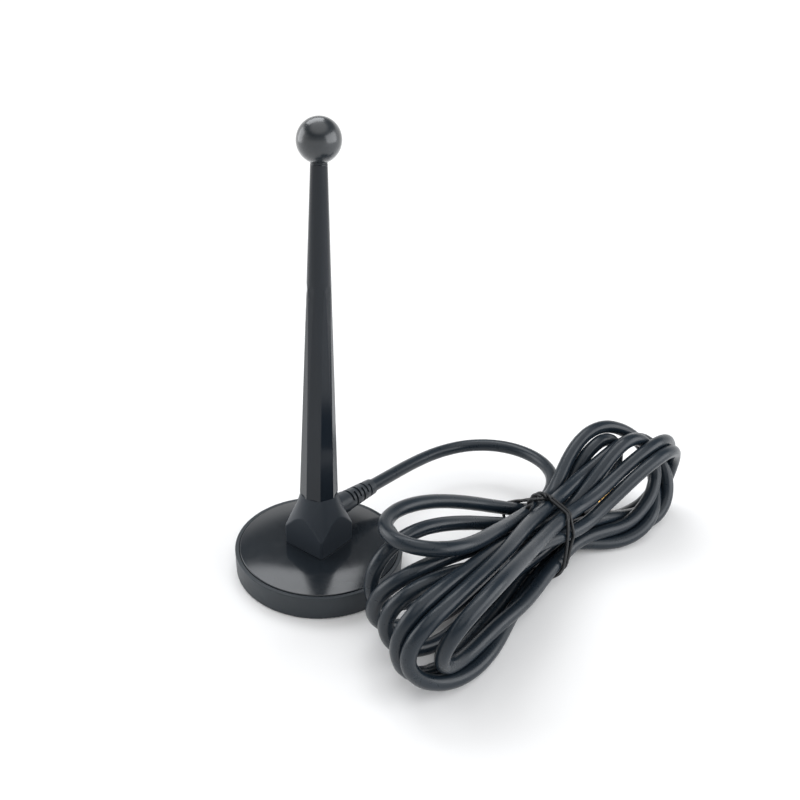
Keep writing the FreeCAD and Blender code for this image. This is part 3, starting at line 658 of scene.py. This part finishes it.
def soft_lamp(name, place, width, height, power, roll=0.0):
    """Rectangular area lamp aimed at the hub, rolled by an angle in degrees."""
    data = bpy.data.lights.new(name, "AREA")
    data.shape = "RECTANGLE"
    data.size = width
    data.size_y = height
    data.energy = power
    data.color = linear("fafcff")[:3]
    lamp = bpy.data.objects.new(name, data)
    lamp.location = place
    aim = (LAMP_AIM - lamp.location).to_track_quat("-Z", "Y")
    lamp.rotation_euler = (aim @ Quaternion((0, 0, 1), math.radians(roll))).to_euler()
    scene.collection.objects.link(lamp)


soft_lamp("panel_behind", (-0.16, 0.46, 0.84), 0.72, 0.46, 3.6, roll=-14)
soft_lamp("softbox_left", (-0.84, 0.30, 0.33), 0.66, 0.68, 3.3)
soft_lamp("softbox_right", (0.82, -0.33, 0.36), 1.05, 0.64, 5.6)

# %% [markdown]
# ## Surroundings
# Black gloss shows its surroundings more than its own colour. The studio is white low down, dim half way up
# and pale overhead. Towards the camera only the lowest part is white, because the room behind a camera is
# darker. So the rim of the dome reflects white, its middle stays black, and the ball gets a soft gradient.

# %% Studio surroundings
world = bpy.data.worlds.new("studio")
scene.world = world
world.use_nodes = True
tree = world.node_tree
background = tree.nodes["Background"]
background.inputs["Color"].default_value = linear("ffffff")
aim = add(tree, "ShaderNodeTexCoord").outputs["Generated"]
axes = add(tree, "ShaderNodeSeparateXYZ", {"Vector": aim})
fade = add(tree, "ShaderNodeMapRange", {"Value": axes.outputs["Z"], "From Min": 0.34, "From Max": 0.54,
                                        "To Min": 1.0, "To Max": 0.2}, interpolation_type="SMOOTHSTEP")
sweep = add(tree, "ShaderNodeMapRange", {"Value": axes.outputs["Z"], "From Min": 0.08, "From Max": 0.22,
                                         "To Min": 1.0, "To Max": 0.42}, interpolation_type="SMOOTHSTEP")
room = add(tree, "ShaderNodeMapRange", {"Value": axes.outputs["Y"], "From Min": -0.8, "From Max": -0.1,
                                        "To Min": sweep.outputs[0], "To Max": 1.0},
           interpolation_type="SMOOTHSTEP")
overhead = add(tree, "ShaderNodeMath", {0: axes.outputs["Y"], 1: -0.25, 2: axes.outputs["Z"]},
               operation="MULTIPLY_ADD")
ceiling = add(tree, "ShaderNodeMapRange", {"Value": overhead.outputs[0], "From Min": 0.72, "From Max": 0.95,
                                           "To Min": 0.0, "To Max": 1.2}, interpolation_type="SMOOTHSTEP")
level = add(tree, "ShaderNodeMath", {0: fade.outputs[0], 1: room.outputs[0], 2: ceiling.outputs[0]},
            operation="MULTIPLY_ADD")
tree.links.new(level.outputs[0], background.inputs["Strength"])

# %% [markdown]
# ## Floor
# The floor is white paper that takes the soft shadows. Far from the antenna it fades into plain white. Light
# Path shows that white to the camera and in reflections, and keeps it out of the light on matt surfaces.

# %% Floor
FLOOR_SIZE = 12.0
NEAR_GLOW = 0.06
paper = bpy.data.materials.new("white_paper")
paper.use_nodes = True
tree = paper.node_tree
shader = tree.nodes["Principled BSDF"]
shader.inputs["Roughness"].default_value = 0.9
shader.inputs["Emission Color"].default_value = (1, 1, 1, 1)
place = add(tree, "ShaderNodeTexCoord").outputs["Object"]
away = add(tree, "ShaderNodeVectorMath", {0: place}, operation="LENGTH").outputs["Value"]
far = add(tree, "ShaderNodeMapRange", {"Value": away, "From Min": 0.16, "From Max": 0.8},
          interpolation_type="SMOOTHSTEP").outputs[0]
tone = add(tree, "ShaderNodeMix", {"Factor": far, 6: linear("f2f2f2"), 7: linear("404040")}, data_type="RGBA")
tree.links.new(tone.outputs[2], shader.inputs["Base Color"])
glow = add(tree, "ShaderNodeMapRange", {"Value": far, "To Min": NEAR_GLOW, "To Max": 1.0}).outputs[0]
rays = add(tree, "ShaderNodeLightPath")
direct = add(tree, "ShaderNodeMath", {0: rays.outputs["Is Camera Ray"], 1: rays.outputs["Is Glossy Ray"]},
             operation="MAXIMUM")
direct = add(tree, "ShaderNodeMath", {0: direct.outputs[0], 1: rays.outputs["Is Transmission Ray"]},
             operation="MAXIMUM")
glow = add(tree, "ShaderNodeMath", {0: direct.outputs[0], 1: glow}, operation="MULTIPLY")
tree.links.new(glow.outputs[0], shader.inputs["Emission Strength"])
floor_mesh = bpy.data.meshes.new("floor")
sheet = bmesh.new()
bmesh.ops.create_grid(sheet, x_segments=1, y_segments=1, size=FLOOR_SIZE / 2)
sheet.to_mesh(floor_mesh)
sheet.free()
floor_mesh.materials.append(paper)
floor = bpy.data.objects.new("floor", floor_mesh)
floor.location.z = -0.0002
scene.collection.objects.link(floor)

# %% [markdown]
# ## Joining the scene to the frame
# The cable, the tie and the bead belong to the antenna's body, and the thread turns with the nut. The cable
# stands for the plain solids of the lead, the hank and the tail, and it carries the connector and the tie.

# %% Bodies, replaced solids and the cord
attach(coax_cable, "antenna")
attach(twist_tie, "antenna")
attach(ball_bead, "antenna")
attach(nut_thread, "nut")
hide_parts("cable_lead", "cable_hank", "cable_tail")
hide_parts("twist_tie")
